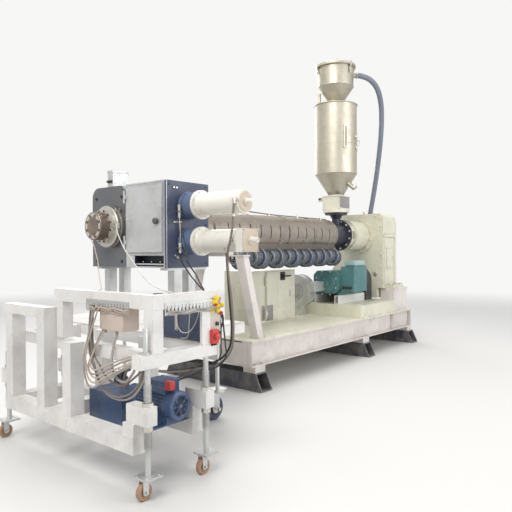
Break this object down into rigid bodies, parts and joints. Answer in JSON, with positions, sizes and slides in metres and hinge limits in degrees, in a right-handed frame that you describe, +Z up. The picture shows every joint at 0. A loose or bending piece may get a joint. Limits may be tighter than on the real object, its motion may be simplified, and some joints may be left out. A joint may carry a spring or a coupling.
{
  "type": "plastic extruder",
  "caption": "Single-screw plastic extruder on a beam base: gearbox, hopper with vacuum loader, slotted barrel shroud over cooling blowers, hydraulic screen changer and a power unit cart.",
  "frame": {"origin": "on the floor, at the middle of the front cross tube, straight under the barrel axis", "axes": "+X along the barrel from the outlet to the gearbox, +Y to the side away from the hydraulic cylinders, +Z up"},
  "size_m": [6.3355, 2.393, 4.191],
  "materials": {
    "frame_navy": "worn satin",
    "frame_white": "satin, dusty",
    "machine_cream": "semi-gloss, dusty",
    "throat_black": "dark painted casting",
    "hopper_steel": "brushed stainless",
    "hose_grey": "ribbed hose",
    "galvanised": "zinc",
    "barrel_steel": "machined",
    "shroud_steel": "heat-tinted sheet",
    "blower_grey": "satin",
    "motor_teal": "satin, dusty",
    "cart_white": "worn satin",
    "handle_black": "semi-gloss",
    "changer_grey": "painted casting",
    "enclosure_silver": "satin",
    "slate_navy": "satin",
    "mount_blue": "satin",
    "wheel_rubber": "matte",
    "cable_grey": "matte"
  },
  "bodies": {
    "extruder": {"cross_tubes": "frame_navy", "levelling_pads": "frame_white", "side_beams": "frame_white", "cross_members": "frame_white", "deck_plate": "machine_cream", "drive_platform": "machine_cream", "gearbox_pedestals": "frame_white", "gearbox_housing": "machine_cream", "gearbox_cover": "machine_cream", "thrust_housing": "machine_cream", "lantern": "machine_cream", "feed_throat": "throat_black", "slide_gate": "machine_cream", "hopper": "hopper_steel", "hopper_lid": "hopper_steel", "hopper_loader": "hopper_steel", "loader_lid": "hopper_steel", "loader_hose": "hose_grey", "hose_port": "galvanised", "barrel": "barrel_steel", "barrel_shroud": "shroud_steel", "blower_scrolls": "blower_grey", "blower_motors": "blower_grey", "barrel_support": "frame_white", "drive_motor": "motor_teal", "motor_terminal_box": "motor_teal", "coupling_guard": "blower_grey", "motor_rails": "cart_white", "cooling_blower": "blower_grey", "control_cabinet": "machine_cream", "screen_changer": "changer_grey", "outlet_flange": "barrel_steel", "head_enclosure": "enclosure_silver", "cylinder_plate": "slate_navy", "cylinder_mounts": "mount_blue", "hydraulic_cylinders": "cart_white", "junction_boxes": "galvanised", "head_stand": "galvanised", "cart_long_rails": "cart_white", "cart_cross_rails": "cart_white", "cart_posts": "cart_white", "jack_outriggers": "cart_white", "cart_shelf": "cart_white", "jack_screws": "galvanised", "far_casters": "galvanised", "oil_tank": "slate_navy", "pump_set": "mount_blue", "cable_trays": "galvanised", "cable_loom": "cable_grey"},
    "cabinet_door": {"cabinet_door": "machine_cream"},
    "disconnect_handle": {"disconnect_handle": "handle_black"},
    "head_door": {"head_door": "enclosure_silver"},
    "caster_fork_1": {"caster_fork_1": "galvanised"},
    "caster_wheel_1": {"caster_wheel_1": "wheel_rubber"},
    "caster_fork_2": {"caster_fork_2": "galvanised"},
    "caster_wheel_2": {"caster_wheel_2": "wheel_rubber"},
    "caster_fork_3": {"caster_fork_3": "galvanised"},
    "caster_wheel_3": {"caster_wheel_3": "wheel_rubber"},
    "caster_fork_4": {"caster_fork_4": "galvanised"},
    "caster_wheel_4": {"caster_wheel_4": "wheel_rubber"}
  },
  "joints": [
    {"name": "cabinet_door_hinge", "type": "hinge", "parent": "extruder", "child": "cabinet_door", "pos_m": [1.05, 0.122, 0.84], "axis": [0, 0, -1], "range_deg": [0, 110]},
    {"name": "disconnect_turn", "type": "hinge", "parent": "cabinet_door", "child": "disconnect_handle", "pos_m": [1.398, 0.12, 1.088], "axis": [0, -1, 0], "range_deg": [0, 90]},
    {"name": "head_door_hinge", "type": "hinge", "parent": "extruder", "child": "head_door", "pos_m": [-1.36, -0.219, 1.7], "axis": [0, 0, -1], "range_deg": [0, 90]},
    {"name": "caster_swivel_1", "type": "hinge", "parent": "extruder", "child": "caster_fork_1", "pos_m": [-2.25, -1.62, 0.114], "axis": [0, 0, 1], "continuous": true},
    {"name": "caster_roll_1", "type": "hinge", "parent": "caster_fork_1", "child": "caster_wheel_1", "pos_m": [-2.282, -1.62, 0.05], "axis": [0, 1, 0], "continuous": true},
    {"name": "caster_swivel_2", "type": "hinge", "parent": "extruder", "child": "caster_fork_2", "pos_m": [-1.78, -1.62, 0.114], "axis": [0, 0, 1], "continuous": true},
    {"name": "caster_roll_2", "type": "hinge", "parent": "caster_fork_2", "child": "caster_wheel_2", "pos_m": [-1.812, -1.62, 0.05], "axis": [0, 1, 0], "continuous": true},
    {"name": "caster_swivel_3", "type": "hinge", "parent": "extruder", "child": "caster_fork_3", "pos_m": [-2.25, 0.045, 0.114], "axis": [0, 0, 1], "continuous": true},
    {"name": "caster_roll_3", "type": "hinge", "parent": "caster_fork_3", "child": "caster_wheel_3", "pos_m": [-2.282, 0.045, 0.05], "axis": [0, 1, 0], "continuous": true},
    {"name": "caster_swivel_4", "type": "hinge", "parent": "extruder", "child": "caster_fork_4", "pos_m": [-0.93, -0.91, 0.228], "axis": [0, 0, 1], "continuous": true},
    {"name": "caster_roll_4", "type": "hinge", "parent": "caster_fork_4", "child": "caster_wheel_4", "pos_m": [-0.98, -0.91, 0.1], "axis": [0, 1, 0], "continuous": true}
  ]
}
